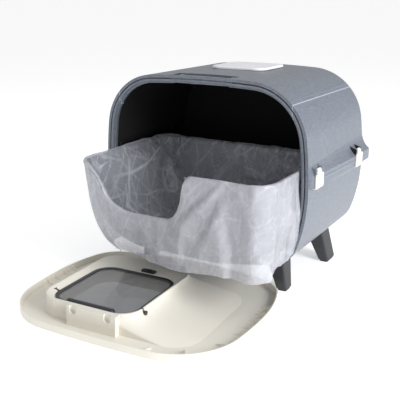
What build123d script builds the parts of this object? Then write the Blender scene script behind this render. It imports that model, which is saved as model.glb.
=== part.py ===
"""Hooded cat litter box on four splayed legs, with its tray drawn out and its front cover laid in front.

Millimetres, +Z up. The model is built about the middle of the box's front rim at floor level, with the
front facing -Y, and moved at the end so that the origin is the middle of the whole set's footprint.
"""

from build123d import *
import os
from math import atan2, cos, degrees, hypot, radians, sin, sqrt

os.makedirs("parts", exist_ok=True)

# ---- Driving dimensions ----------------------------------------------------------------------------
BOX_WIDTH = 560.0
BOX_DEPTH = 384.0
BOX_TOP = 516.0
BOX_BOTTOM = 63.0
WIDEST_Z = 268.0  # height where the side walls bulge furthest
PARTING_Z = 293.0  # where the hood sits on the base
WALL = 3.0
CROWN_RADIUS_TOP = 2450.0
CORNER_RADIUS_TOP = 144.0
SIDE_RADIUS_TOP = 900.0
CROWN_RADIUS_BOTTOM = 800.0
CORNER_RADIUS_BOTTOM = 80.0
SIDE_RADIUS_BOTTOM = 400.0
REAR_FILLET = 12.0

RIM_DEPTH = 16.0  # front rim, along Y
RIM_BAND = 7.0  # face band outside the cover groove
GROOVE_WIDTH = 3.0
GROOVE_DEPTH = 7.0
RIM_LAND = 5.0
LIP_INSET = 20.0
LIP_SETBACK = 6.0
NOTCH_WIDTH = 156.0
NOTCH_RISE = 6.0

FLANGE_REACH = (288.0, 298.0)  # outer face of the side flange at the front and rear latches
FLANGE_BAND = 16.0  # height of the hood's band above the parting
FLANGE_LOW = 10.0  # height of the base's band below it
FLANGE_END = 376.0
FLARE_RISE = 44.0
FLARE_DROP = 22.0
FLANGE_LEDGE = 9.0  # flat underside that the latches hook
FLANGE_START = 3.0
FLANGE_RAMP = 14.0  # length over which the flange swells out of the wall

LATCH_Y = (40.0, 288.0)
LATCH_WIDTH = 44.0
KNUCKLE_WIDTH = 24.0
LATCH_PIVOT_Z = 320.0
LATCH_PIVOT_BACK = 3.5  # from the flange face in to the latch pin
LATCH_TOP = 313.0
KNUCKLE_R = 4.5
LATCH_PIN_R = 2.5
PIN_LENGTH = LATCH_WIDTH - 6.0
LATCH_PLATE = 3.0
RUNNING_GAP = 0.08

LEG_ROOT = ((180.0, 78.0), (192.0, 308.0))  # X and Y of the front and rear legs at the belly
LEG_FOOT = ((201.0, 70.0), (220.0, 314.0))  # and at the floor
LEG_ROOT_SIZE = ((46.0, 50.0), (48.0, 54.0))
LEG_FOOT_SIZE = ((28.0, 34.0), (28.0, 54.0))
LEG_CORNER = 5.0
LEG_BELLY_Z = 80.0
LEG_CUT_Z = 150.0  # height that the leg is drawn up to before the belly trims it
PAD_THICK = 4.0
PAD_SHRINK = 3.0

TRAY_TOP = 315.0
TRAY_OUT = 150.0  # how far the tray is drawn out of the box
TRAY_SIZES = (  # height, width, depth, corner radius: the tray narrows to its floor
    (103.5, 300.0, 252.0, 60.0),
    (122.0, 366.0, 296.0, 62.0),
    (165.0, 432.0, 334.0, 58.0),
    (225.0, 472.0, 352.0, 50.0),
    (TRAY_TOP, 496.0, 364.0, 40.0),
)
TRAY_WALL = 2.5
TRAY_Y = -TRAY_OUT + 184.0
ENTRY = (-205.0, 45.0)
ENTRY_SILL_Z = 202.0
LINER_THICK = 0.8
LINER_GAP = 0.5

COVER_CENTRE = (-41.0, -161.0)
COVER_TURN = 3.0
COVER_OVERHANG = 5.0
COVER_RIM = 19.0
COVER_WALL = 3.0
DOOR_CENTRE = (-58.0, -55.0)
DOOR_SIZE = (228.0, 224.0)
DOOR_CORNER = 48.0
CREST = (-192.0, 60.0, -172.0, 116.0)  # left, right, near and far limits of the collar's crest
CREST_CORNER = 50.0
COLLAR_HEIGHT = 48.0
COLLAR_SPREAD = (14.0, 165.0, 3.0, 26.0)  # how far the foot stands out beyond the crest, same order
COLLAR_RISES = (0.0, 0.06, 0.16, 0.35, 0.65, 1.0)
COLLAR_HOLLOW = 2.6  # how strongly the long right slope is dished
FUNNEL_Z = 41.0  # lip between the upright door wall and the funnel above it
FLAP_Z = 39.0
FLAP_PIN_V = DOOR_CENTRE[1] - DOOR_SIZE[1] / 2 + 46.0
FLAP_PIN_R = 3.0
PIN_HEAD = (5.0, 3.0)  # radius and thickness
BRACKET = (-97.0, 32.0, -186.0)  # left, right and face
POCKET_U = (-81.0, 10.0)
POCKET_R = 9.0
GUSSETS = (  # place on the rim's inside, direction in degrees, length
    (-281.0, -35.0, 180.0, 20.0),
    (-282.0, -3.0, 180.0, 20.0),
    (-282.0, 30.0, 180.0, 20.0),
    (-281.0, 62.0, 180.0, 20.0),
    (279.0, -60.0, 0.0, 36.0),
    (281.0, -25.0, 0.0, 36.0),
    (282.0, 10.0, 0.0, 36.0),
    (282.0, 45.0, 0.0, 36.0),
    (280.0, 80.0, 0.0, 36.0),
    (262.0, -128.0, -26.0, 36.0),
    (204.0, -194.0, -60.0, 36.0),
    (126.0, -222.0, -82.0, 36.0),
)

HANDLE_LENGTH = 150.0
HANDLE_Y = 37.0
HANDLE_ARM = 22.0
FILTER_SIZE = (156.0, 146.0)
FILTER_Y = 246.0
FILTER_WELL = 16.0

ORIGIN = Location((12.82, 5.77, 0.0))  # the box's own centre line, seen from the middle of the footprint

SIDES = (("left", -1), ("right", 1))
ENDS = (("front", 0), ("rear", 1))


# ---- Helpers ---------------------------------------------------------------------------------------
def blend_circle(crown, side, crown_r, side_r, corner_r):
    """Centre of the corner arc that touches the crown arc and the side arc from inside."""
    reach_c, reach_s = crown_r - corner_r, side_r - corner_r
    dx, dz = side[0] - crown[0], side[1] - crown[1]
    gap = hypot(dx, dz)
    along = (reach_c**2 - reach_s**2 + gap**2) / (2 * gap)
    off = sqrt(reach_c**2 - along**2)
    ex, ez = dx / gap, dz / gap
    picks = [(crown[0] + ex * along - s * ez * off, crown[1] + ez * along + s * ex * off) for s in (-1, 1)]
    return max(picks, key=lambda p: p[0] + p[1])


def half_arcs(height, crown_r, side_r, corner_r, inset):
    """The three arcs of one quadrant, above the widest height: (centre, radius, start, sweep)."""
    crown = (0.0, height - crown_r)
    side = (BOX_WIDTH / 2 - side_r, 0.0)
    corner = blend_circle(crown, side, crown_r, side_r, corner_r)
    top_angle = degrees(atan2(corner[1] - crown[1], corner[0] - crown[0]))
    side_angle = degrees(atan2(corner[1] - side[1], corner[0] - side[0]))
    return (
        (side, side_r - inset, 0.0, side_angle),
        (corner, corner_r - inset, side_angle, top_angle - side_angle),
        (crown, crown_r - inset, top_angle, 90.0 - top_angle),
    )


def section(inset=0.0):
    """The box's rounded outline as a face in local x, y, where y is the height."""
    top = half_arcs(BOX_TOP - WIDEST_Z, CROWN_RADIUS_TOP, SIDE_RADIUS_TOP, CORNER_RADIUS_TOP, inset)
    low = half_arcs(
        WIDEST_Z - BOX_BOTTOM, CROWN_RADIUS_BOTTOM, SIDE_RADIUS_BOTTOM, CORNER_RADIUS_BOTTOM, inset
    )
    edges = []
    for arcs, up in ((top, 1), (low, -1)):
        for (cx, cy), radius, start, sweep in arcs:
            for right in (1, -1):
                centre = (right * cx, WIDEST_Z + up * cy)
                first = start if right > 0 else 180.0 - start
                edges.append(CenterArc(centre, radius, up * first, up * right * sweep))
    return make_face(Wire(edges).edges())


def along_y(face, y0, y1):
    """Extrude a face drawn as X and height from y0 to y1."""
    return extrude(Plane.XZ.offset(-y0) * face, amount=y0 - y1)


def block(x0, x1, y0, y1, z0, z1):
    """A plain block from its six limits."""
    return Pos((x0 + x1) / 2, (y0 + y1) / 2, (z0 + z1) / 2) * Box(x1 - x0, y1 - y0, z1 - z0)


def rod(x, y, z, radius, length, turn):
    """A round rod centred on a point; turn lays its axis along X or Y."""
    return Pos(x, y, z) * turn * Cylinder(radius, length)


ALONG_X = Rot(0, 90, 0)
ALONG_Y = Rot(90, 0, 0)


def mirrored(shape, side):
    """The shape as made for the right side, or its mirror image on the left."""
    return shape if side > 0 else mirror(shape, about=Plane.YZ)


def export(node, *shapes):
    """Write one node, moved to the model's origin."""
    moved = [shape.moved(ORIGIN) for shape in shapes]
    solids = [solid for shape in moved for solid in shape.solids()]
    result = solids[0] if len(solids) == 1 else Compound(children=solids)
    result.label = node
    export_step(result, os.path.join("parts", node + ".step"))


# ---- The box's outer form, shared by hood and base -------------------------------------------------
def flange_profile(index, y, inset=0.0):
    """Right-hand side flange at one latch: concave flare, upright band and undercut, set upright at y."""
    root = BOX_WIDTH / 2 - 14.0
    face = FLANGE_REACH[index] - inset
    top, low = PARTING_Z + FLANGE_BAND - inset, PARTING_Z - FLANGE_LOW + inset
    flare_foot = (BOX_WIDTH / 2 - 4.2 - inset, top + FLARE_RISE)
    flare_mid = (flare_foot[0] + 0.29 * (face - flare_foot[0]), top + 0.42 * FLARE_RISE)
    tuck = face - FLANGE_LEDGE
    tuck_foot = min(BOX_WIDTH / 2 - 1.0 - inset, tuck - 0.5)
    outline = [
        ThreePointArc((face, top), flare_mid, flare_foot),
        Line(flare_foot, (root, flare_foot[1])),
        Line((root, flare_foot[1]), (root, low - FLARE_DROP)),
        Line((root, low - FLARE_DROP), (tuck_foot, low - FLARE_DROP)),
        Line((tuck_foot, low - FLARE_DROP), (tuck, low)),
        Line((tuck, low), (face, low)),
        Line((face, low), (face, top)),
    ]
    return Plane.XZ.offset(-y) * make_face(Wire(outline).edges())


def flange(inset=0.0):
    """Both side flanges: swelling out behind the rim and widening between the latches."""
    half = LATCH_WIDTH / 2 + 2.0
    start, swell = FLANGE_START + inset, FLANGE_START + FLANGE_RAMP + inset
    y1, y2 = LATCH_Y[0] + half, LATCH_Y[1] - half
    front_x, wall_x = FLANGE_REACH[0] - inset, BOX_WIDTH / 2 - 4.0 - inset
    plan = make_face(
        Wire([
            Line((0, start), (wall_x, start)),
            Spline((wall_x, start), (front_x, swell), tangents=[(1, 0.6), (0, 1)]),
            Line((front_x, swell), (front_x, y1)),
            Line((front_x, y1), (0, y1)),
            Line((0, y1), (0, start)),
        ]).edges()
    )
    front = extrude(flange_profile(0, FLANGE_START, inset), amount=FLANGE_START - y1)
    front = front & extrude(plan, amount=BOX_TOP)
    middle = loft([flange_profile(0, y1, inset), flange_profile(1, y2, inset)])
    rear = extrude(flange_profile(1, y2, inset), amount=y2 - FLANGE_END + inset)
    right = front + middle + rear
    return right + mirrored(right, -1)


def outer_form():
    """Everything inside the box's outer skin, front rim to rear wall."""
    body = along_y(section(), 0, BOX_DEPTH)
    rear = body.faces().sort_by(Axis.Y)[-1]
    return fillet(rear.edges(), REAR_FILLET) + flange()


def cavity():
    """The space that the skin encloses, open at the front through the rim."""
    room = along_y(section(WALL), RIM_DEPTH, BOX_DEPTH - WALL)
    rear = room.faces().sort_by(Axis.Y)[-1]
    room = fillet(rear.edges(), REAR_FILLET - WALL) + flange(WALL)
    mouth = along_y(section(LIP_INSET), -1, RIM_DEPTH + 1)
    step = along_y(section(RIM_BAND + GROOVE_WIDTH + RIM_LAND), -1, LIP_SETBACK)
    groove = along_y(section(RIM_BAND) - section(RIM_BAND + GROOVE_WIDTH), -1, GROOVE_DEPTH)
    notch = Pos(0, BOX_TOP - LIP_INSET) * Trapezoid(NOTCH_WIDTH, 2 * NOTCH_RISE, 55)
    notch = along_y(notch, -1, RIM_DEPTH + 1)
    catch = block(-28, -14, -1, RIM_DEPTH + 1, BOX_TOP - LIP_INSET, BOX_TOP - LIP_INSET + NOTCH_RISE + 1)
    return room + mouth + step + groove + (notch - catch)


OUTER = outer_form()
SHELL = OUTER - cavity()
HALF_SPACE = 2 * BOX_WIDTH


# ---- Hood ------------------------------------------------------------------------------------------
def seam_bead(side):
    """Fine raised line that runs back along the shoulder of the hood."""
    centre, radius, start, sweep = half_arcs(
        BOX_TOP - WIDEST_Z, CROWN_RADIUS_TOP, SIDE_RADIUS_TOP, CORNER_RADIUS_TOP, 0.0
    )[1]
    angle = radians(start + 0.5 * sweep)
    x, z = centre[0] + radius * cos(angle), WIDEST_Z + centre[1] + radius * sin(angle)
    length = BOX_DEPTH - REAR_FILLET - 4
    return mirrored(rod(x - 0.4, 2 + length / 2, z - 0.4, 1.6, length, ALONG_Y), side)


def latch_pivot(index):
    """X and height of a latch pin."""
    return FLANGE_REACH[index] - LATCH_PIVOT_BACK, LATCH_PIVOT_Z


def latch_lug(index):
    """Two cheeks on the right-hand flare that carry one latch pin between them."""
    y, (px, pz) = LATCH_Y[index], latch_pivot(index)
    root, low = BOX_WIDTH / 2 - 3.5, PARTING_Z + FLANGE_BAND + 2.0
    profile = make_face(
        Wire([
            Line((root, low), (px + 3, low)),
            Line((px + 3, low), (px + 5, pz - 2)),
            ThreePointArc((px + 5, pz - 2), (px + 4.3, pz + 4), (px - 1, pz + 7)),
            Line((px - 1, pz + 7), (root, pz + 13)),
            Line((root, pz + 13), (root, low)),
        ]).edges()
    )
    half = LATCH_WIDTH / 2 - 1.0
    slot = KNUCKLE_WIDTH / 2 + 0.5
    lug = along_y(profile, y - half, y + half)
    return lug - block(root - 1, px + 20, y - slot, y + slot, low - 1, pz + 30)


def latch_neck(index):
    """Profile of a latch between its plate and its pin."""
    px, pz = latch_pivot(index)
    face = FLANGE_REACH[index] + 0.6
    slant = KNUCKLE_R / sqrt(2)
    return make_face(
        Wire([
            Line((face + 0.3, LATCH_TOP - 6), (face + 2.0, LATCH_TOP - 6)),
            Line((face + 2.0, LATCH_TOP - 6), (px + KNUCKLE_R, pz)),
            ThreePointArc((px + KNUCKLE_R, pz), (px, pz + KNUCKLE_R), (px - KNUCKLE_R, pz)),
            ThreePointArc((px - KNUCKLE_R, pz), (px - slant, pz - slant), (px, pz - KNUCKLE_R)),
            Line((px, pz - KNUCKLE_R), (face + 0.3, LATCH_TOP - 6)),
        ]).edges()
    )


def handle_recess():
    """Pocket in the crown that the folded carry handle lies in."""
    half = HANDLE_LENGTH / 2 + 6.0
    return block(-half, half, HANDLE_Y - HANDLE_ARM - 8, HANDLE_Y + 9, BOX_TOP - 16, BOX_TOP + 5)


def filter_well(grow=0.0):
    """Square well in the crown that holds the carbon filter."""
    width, depth = FILTER_SIZE[0] - 22 + grow, FILTER_SIZE[1] - 22 + grow
    plan = RectangleRounded(width, depth, 20 + grow / 2)
    base = BOX_TOP - FILTER_WELL - 3.0 - grow / 2
    return extrude(Pos(0, FILTER_Y, base) * plan, amount=BOX_TOP + 5 - base)


def hood():
    """Upper shell with rim, flares, latch lugs, handle recess and filter well."""
    shape = SHELL & block(-HALF_SPACE, HALF_SPACE, -1, BOX_DEPTH + 1, PARTING_Z, BOX_TOP + 9)
    inside = OUTER & block(-HALF_SPACE, HALF_SPACE, 2, BOX_DEPTH - 2, BOX_TOP - 60, BOX_TOP + 1)
    half = HANDLE_LENGTH / 2 + 6.0 + WALL
    tub = block(-half, half, 3, HANDLE_Y + 9 + WALL, BOX_TOP - 16 - WALL, BOX_TOP + 5) & inside
    well = filter_well(2 * WALL) & inside
    shape = shape + tub + well - handle_recess() - filter_well()
    slots = GridLocations(16, 1, 7, 1)
    for place in slots:
        shape -= Pos(0, FILTER_Y, BOX_TOP - FILTER_WELL) * place * Box(7, 96, 30)
    for _, side in SIDES:
        shape += seam_bead(side)
        for index, y in enumerate(LATCH_Y):
            px, pz = latch_pivot(index)
            slot = KNUCKLE_WIDTH / 2 + 0.5
            shape += mirrored(latch_lug(index), side)
            shape -= mirrored(rod(px, y, pz, KNUCKLE_R + 0.6, 2 * slot, ALONG_Y), side)
            shape -= mirrored(along_y(offset(latch_neck(index), 0.6), y - slot, y + slot), side)
            shape -= mirrored(rod(px, y, pz, LATCH_PIN_R, PIN_LENGTH, ALONG_Y), side)
    pin_bore = rod(0, HANDLE_Y, BOX_TOP - 8, 2.5, HANDLE_LENGTH + 2 * 10.0, ALONG_X)
    return shape - pin_bore


# ---- Base ------------------------------------------------------------------------------------------
def leg_spots():
    """Name, side sign, end index and screw point of each leg."""
    for end, index in ENDS:
        for name, side in SIDES:
            yield f"{end}_{name}", side, index, (side * LEG_ROOT[index][0], LEG_ROOT[index][1])


BOSS_TOP = 112.0


def base():
    """Lower shell with its rim, flange, tray runners and screw bosses."""
    shape = SHELL & block(-HALF_SPACE, HALF_SPACE, -1, BOX_DEPTH + 1, 0, PARTING_Z)
    inside = along_y(section(1.0), RIM_DEPTH - 1, BOX_DEPTH - 8)
    for x in (-100.0, 0.0, 100.0):
        runner = block(x - 2, x + 2, RIM_DEPTH - 1, BOX_DEPTH - 12, BOX_BOTTOM, TRAY_SIZES[0][0] - 0.4)
        shape += runner & inside
    for _, _, _, (x, y) in leg_spots():
        boss = Pos(x, y, BOSS_TOP / 2) * Cylinder(9, BOSS_TOP)
        shape += boss & inside
        shape -= Pos(x, y, 100) * Cylinder(2.3, 120)
    return shape


# ---- Legs, pads and screws -------------------------------------------------------------------------
def leg(side, index):
    """One leg, splayed outwards and tapering to its foot, cut to the belly of the box."""
    def cut(z):
        share = (z - PAD_THICK) / (LEG_BELLY_Z - PAD_THICK)
        x, y = (foot + (root - foot) * share for foot, root in zip(LEG_FOOT[index], LEG_ROOT[index]))
        sizes = zip(LEG_FOOT_SIZE[index], LEG_ROOT_SIZE[index])
        width, depth = (foot + (root - foot) * share for foot, root in sizes)
        return Pos(side * x, y, z) * RectangleRounded(width, depth, LEG_CORNER)

    shape = loft([cut(PAD_THICK), cut(LEG_CUT_Z)])
    shape = chamfer(shape.faces().sort_by(Axis.Z)[0].edges(), 1.5)
    shape -= along_y(section(), -50, BOX_DEPTH + 50)
    body = max(shape.solids(), key=lambda solid: solid.volume)
    return body - Pos(side * LEG_ROOT[index][0], LEG_ROOT[index][1], 90) * Cylinder(2.05, 70)


def foot_pad(side, index):
    """Rubber pad under a leg."""
    x, y = LEG_FOOT[index]
    size = [edge - 2 * PAD_SHRINK for edge in LEG_FOOT_SIZE[index]]
    return extrude(Pos(side * x, y, 0) * RectangleRounded(*size, 4), amount=PAD_THICK)


def leg_screw(side, index):
    """Pan-head screw through the boss into the leg."""
    x, y = side * LEG_ROOT[index][0], LEG_ROOT[index][1]
    head = Pos(x, y, BOSS_TOP + 1.6) * Cylinder(5, 3.2)
    head = fillet(head.edges().sort_by(Axis.Z)[-1], 1.2)
    slot = Pos(x, y, BOSS_TOP + 3) * (Box(6, 1.2, 2) + Box(1.2, 6, 2))
    return head - slot + Pos(x, y, BOSS_TOP - 24) * Cylinder(2.0, 48)


# ---- Tray and liner --------------------------------------------------------------------------------
def tray_form(grow=0.0, low=0.0, high=0.0):
    """The tray's tapering body, grown outwards by grow; low and high move its floor and top."""
    levels = []
    for index, (z, width, depth, corner) in enumerate(TRAY_SIZES):
        shift = low if index == 0 else high if index == len(TRAY_SIZES) - 1 else 0.0
        plan = RectangleRounded(width + 2 * grow, depth + 2 * grow, corner + grow)
        levels.append(Pos(0, TRAY_Y, z + shift) * plan)
    return loft(levels)


def entry(shrink=0.0):
    """The low entry cut in the left of the front wall, run through that wall only."""
    left, right = ENTRY[0] + shrink, ENTRY[1] - shrink
    sill = ENTRY_SILL_Z + shrink
    top = TRAY_TOP + 12
    corners = ((left - 26, top), (left + 8, TRAY_TOP - 60), (left + 12, sill), (right - 4, sill), (right + 6, top))
    face = make_face(Polyline(*corners, close=True))
    corners = face.vertices().sort_by(Axis.Y)
    face = fillet(corners[:2], 46 - shrink)
    face = fillet(face.vertices().sort_by(Axis.Y)[4:5], 40)
    return along_y(face, TRAY_Y - 260, TRAY_Y - 100)


def tray():
    """Litter tray with a rolled edge and the entry cut-out."""
    shape = tray_form() - tray_form(-TRAY_WALL, TRAY_WALL, 1.0)
    edge = Pos(0, TRAY_Y, TRAY_TOP - 5) * (
        RectangleRounded(TRAY_SIZES[-1][1] + 4, TRAY_SIZES[-1][2] + 4, 42)
        - RectangleRounded(TRAY_SIZES[-1][1] - 4, TRAY_SIZES[-1][2] - 4, 38)
    )
    return shape + extrude(edge, amount=5) - entry()


def liner():
    """Plain stand-in for the plastic bag that lines the tray and folds over its edge."""
    over = 2.0 + LINER_GAP + LINER_THICK
    wide, deep = TRAY_SIZES[-1][1], TRAY_SIZES[-1][2]
    floor = TRAY_WALL + LINER_GAP
    bag = tray_form(-floor, floor, 0.0) - tray_form(-floor - LINER_THICK, floor + LINER_THICK, 1.0)
    cap = Pos(0, TRAY_Y, TRAY_TOP) * (
        RectangleRounded(wide + 2 * over, deep + 2 * over, 40 + over)
        - RectangleRounded(wide - 2 * floor - 2 * LINER_THICK, deep - 2 * floor - 2 * LINER_THICK, 36)
    )
    cap = extrude(Pos(0, 0, LINER_GAP) * cap, amount=LINER_THICK)
    neck = Pos(0, TRAY_Y, TRAY_TOP) * (
        RectangleRounded(wide - 2 * floor, deep - 2 * floor, 40 - floor)
        - RectangleRounded(wide - 2 * floor - 2 * LINER_THICK, deep - 2 * floor - 2 * LINER_THICK, 36)
    )
    neck = extrude(neck, amount=LINER_GAP + LINER_THICK)
    skirt_face = (
        RectangleRounded(wide + 2 * over, deep + 2 * over, 40 + over)
        - RectangleRounded(
            wide + 2 * (over - LINER_THICK), deep + 2 * (over - LINER_THICK), 40 + over - LINER_THICK
        )
    )
    skirt = extrude(Pos(0, TRAY_Y, 235) * skirt_face, amount=TRAY_TOP + LINER_GAP + 0.4 - 235)
    return bag + cap + neck + skirt - entry(-1.0)


# ---- Front cover and flap, drawn flat about the cover's own centre ---------------------------------
COVER_PLACE = Location((COVER_CENTRE[0], COVER_CENTRE[1], 0), (0, 0, COVER_TURN))
SECTION_MIDDLE = (BOX_TOP + BOX_BOTTOM) / 2


def cover_outline(inset=0.0):
    """The box outline laid flat with its top edge towards -Y."""
    return mirror(Pos(0, -SECTION_MIDDLE) * section(inset - COVER_OVERHANG), about=Plane.XZ)


def door_outline(grow=0.0):
    """The entrance, rounded, in the cover's left part."""
    plan = RectangleRounded(DOOR_SIZE[0] + 2 * grow, DOOR_SIZE[1] + 2 * grow, DOOR_CORNER + grow)
    return Pos(*DOOR_CENTRE) * plan


def plan_between(left, right, near, far, corner, z):
    """A rounded rectangle from its four limits, at height z."""
    return Pos((left + right) / 2, (near + far) / 2, z) * RectangleRounded(right - left, far - near, corner)


def collar(shrink=0.0, base_z=0.0):
    """Raised collar round the entrance: steep on three sides, a long dished slope on the right."""
    left, right, near, far = CREST
    levels = []
    for rise in COLLAR_RISES:
        out_left, out_right, out_near, out_far = (spread * (1 - rise) - shrink for spread in COLLAR_SPREAD)
        out_right = COLLAR_SPREAD[1] * (1 - rise) ** COLLAR_HOLLOW - shrink
        corner = CREST_CORNER + 18.0 * (1 - rise) - shrink
        z = base_z + rise * (COLLAR_HEIGHT - shrink - base_z)
        sides = (left - out_left, right + out_right, near - out_near, far + out_far)
        levels.append(plan_between(*sides, corner, z))
    return loft(levels)


def door_hole():
    """The entrance: an upright hole that opens into a funnel below the crest."""
    left, right, near, far = CREST
    edge = COVER_WALL + 0.5
    sides = (left + edge, right - edge, near + edge, far - edge)
    mouth = plan_between(*sides, CREST_CORNER - edge, COLLAR_HEIGHT + 0.01)
    funnel = loft([Pos(0, 0, FUNNEL_Z) * door_outline(), mouth])
    return extrude(Pos(0, 0, -1) * door_outline(), amount=FUNNEL_Z + 1.0) + funnel


def door_walls():
    """The material round the entrance: its upright wall and the funnel's sloping skin."""
    crest = plan_between(*CREST, CREST_CORNER, COLLAR_HEIGHT)
    skin = loft([Pos(0, 0, FUNNEL_Z - COVER_WALL) * door_outline(COVER_WALL), crest])
    return extrude(door_outline(COVER_WALL), amount=FUNNEL_Z - COVER_WALL) + skin


def bracket():
    """Upright block on the collar's near side, with two half-round pockets in its face."""
    u0, u1, face = BRACKET
    back = CREST[2] + 3.0
    profile = make_face(
        Polyline((back, 0.5), (face - 4, 0.5), (face, COLLAR_HEIGHT), (back, COLLAR_HEIGHT), close=True)
    )
    shape = extrude(Plane.YZ.offset(u0) * profile, amount=u1 - u0)
    z = COLLAR_HEIGHT - POCKET_R
    for u in POCKET_U:
        shape -= Pos(u, face, z) * ALONG_Y * Cylinder(POCKET_R, 14)
        shape -= block(u - POCKET_R, u + POCKET_R, face - 7, face + 7, z, COLLAR_HEIGHT + 1)
    return shape


def gusset(u, v, angle, length):
    """Small triangular rib standing against the inside of the rim."""
    profile = make_face(Polyline((0, 2.5), (-length, 2.5), (0, COVER_RIM - 1), close=True))
    rib = extrude(Plane.XZ.offset(-1.0) * profile, amount=2.0)
    return Pos(u, v, 0) * Rot(0, 0, angle) * rib


def hinge_notches():
    """Slots in the crest that the flap's two pins drop into."""
    slot = FLAP_PIN_R + 0.3
    head, thick = PIN_HEAD[0] + 0.5, PIN_HEAD[1] + 1.0
    top = COLLAR_HEIGHT + 5
    cut = Part()
    for side in (-1, 1):
        wall = DOOR_CENTRE[0] + side * DOOR_SIZE[0] / 2
        ends = sorted((wall - side * 8, wall + side * 9))
        far = sorted((wall + side * 8, wall + side * (8 + thick)))
        for (u0, u1), half in ((ends, slot), (far, head)):
            cut += block(u0, u1, FLAP_PIN_V - half, FLAP_PIN_V + half, FLAP_Z, top)
            cut += rod((u0 + u1) / 2, FLAP_PIN_V, FLAP_Z, half, u1 - u0, ALONG_X)
    return cut


def front_cover():
    """Front cover, inner side up: dished panel, rim, door collar, bracket and gussets."""
    dish = extrude(cover_outline(), amount=COVER_RIM)
    dish = chamfer(dish.faces().sort_by(Axis.Z)[0].edges(), 2.0)
    dish -= extrude(Pos(0, 0, COVER_WALL) * cover_outline(COVER_WALL), amount=COVER_RIM)
    shape = dish + collar() + bracket() - collar(COVER_WALL, -0.01) + door_walls() - door_hole()
    inside = extrude(cover_outline(1.0), amount=COVER_RIM)
    for spot in GUSSETS:
        shape += gusset(*spot) & inside
    return shape - hinge_notches()


FLAP_GAP = 3.0
FRAME_WIDTH = 7.5
FRAME_THICK = 6.0
PANE_THICK = 2.4
BAR_R = 8.0
BAR_INSET = 11.0  # from the frame's near edge to the bar's axis


def flap_frame():
    """Dark frame of the flap with the thick bar along its top edge."""
    ring = door_outline(-FLAP_GAP) - door_outline(-FLAP_GAP - FRAME_WIDTH)
    shape = extrude(Pos(0, 0, FLAP_Z - FRAME_THICK / 2) * ring, amount=FRAME_THICK)
    near = DOOR_CENTRE[1] - DOOR_SIZE[1] / 2 + FLAP_GAP
    bar_length = DOOR_SIZE[0] - 2 * DOOR_CORNER - 6
    bar = Pos(DOOR_CENTRE[0], near + BAR_INSET, FLAP_Z) * ALONG_X * Cylinder(BAR_R, bar_length)
    bar = fillet(bar.edges(), BAR_R - 3.0)
    return shape + bar


def flap_pane():
    """Smoked pane set into the frame."""
    plan = door_outline(-FLAP_GAP - FRAME_WIDTH)
    near = DOOR_CENTRE[1] - DOOR_SIZE[1] / 2 + FLAP_GAP
    bar_length = DOOR_SIZE[0] - 2 * DOOR_CORNER - 6
    pane = extrude(Pos(0, 0, FLAP_Z - PANE_THICK / 2) * plan, amount=PANE_THICK)
    return pane - Pos(DOOR_CENTRE[0], near + BAR_INSET, FLAP_Z) * ALONG_X * Cylinder(BAR_R, bar_length)


def flap_pin(side):
    """Headed pivot pin at one end of the flap's hinge line."""
    edge = DOOR_CENTRE[0] + side * (DOOR_SIZE[0] / 2 - FLAP_GAP)
    head_u = edge + side * (12.0 + PIN_HEAD[1] / 2)
    pin = rod(edge + side * 3.0, FLAP_PIN_V, FLAP_Z, FLAP_PIN_R, 18, ALONG_X)
    pin += rod(head_u, FLAP_PIN_V, FLAP_Z, PIN_HEAD[0], PIN_HEAD[1], ALONG_X)
    return max((pin - flap_frame()).solids(), key=lambda solid: solid.volume)


LOCK_U = (-62.0, -24.0)


def flap_lock():
    """Sliding lock tab on the collar at the flap's free edge."""
    far = DOOR_CENTRE[1] + DOOR_SIZE[1] / 2
    tab = block(LOCK_U[0], LOCK_U[1], far + 1, far + 15, FUNNEL_Z + 2.2, FUNNEL_Z + 6.0)
    grip = block(LOCK_U[0] + 12, LOCK_U[1] - 12, far + 6, far + 11, FUNNEL_Z + 6.0, FUNNEL_Z + 8.5)
    return fillet(tab.edges().filter_by(Axis.Z), 3) + grip


# ---- Latches ---------------------------------------------------------------------------------------
def latch(index):
    """C-shaped clip: a knuckle between the lug's cheeks and a plate that hooks under the base flange."""
    y, (px, pz) = LATCH_Y[index], latch_pivot(index)
    face = FLANGE_REACH[index] + 0.6
    low = PARTING_Z - FLANGE_LOW - 1.0
    half = LATCH_WIDTH / 2
    outer = face + LATCH_PLATE
    profile = make_face(
        Wire([
            Line((face, LATCH_TOP), (face, low)),
            Line((face, low), (face - 5, low)),
            Line((face - 5, low), (face - 5, low - 2.5)),
            Line((face - 5, low - 2.5), (outer - 2.5, low - 2.5)),
            ThreePointArc((outer - 2.5, low - 2.5), (outer - 0.7, low - 1.8), (outer, low)),
            Line((outer, low), (outer, LATCH_TOP - 2)),
            ThreePointArc((outer, LATCH_TOP - 2), (outer - 0.7, LATCH_TOP - 0.6), (outer - 2.2, LATCH_TOP)),
            Line((outer - 2.2, LATCH_TOP), (face, LATCH_TOP)),
        ]).edges()
    )
    plate = along_y(profile, y - half, y + half)
    knuckle = along_y(latch_neck(index), y - KNUCKLE_WIDTH / 2, y + KNUCKLE_WIDTH / 2)
    return plate + knuckle - rod(px, y, pz, LATCH_PIN_R + RUNNING_GAP, LATCH_WIDTH + 2, ALONG_Y)


# ---- Handle and filter -----------------------------------------------------------------------------
HANDLE_Z = BOX_TOP - 8.0


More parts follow.
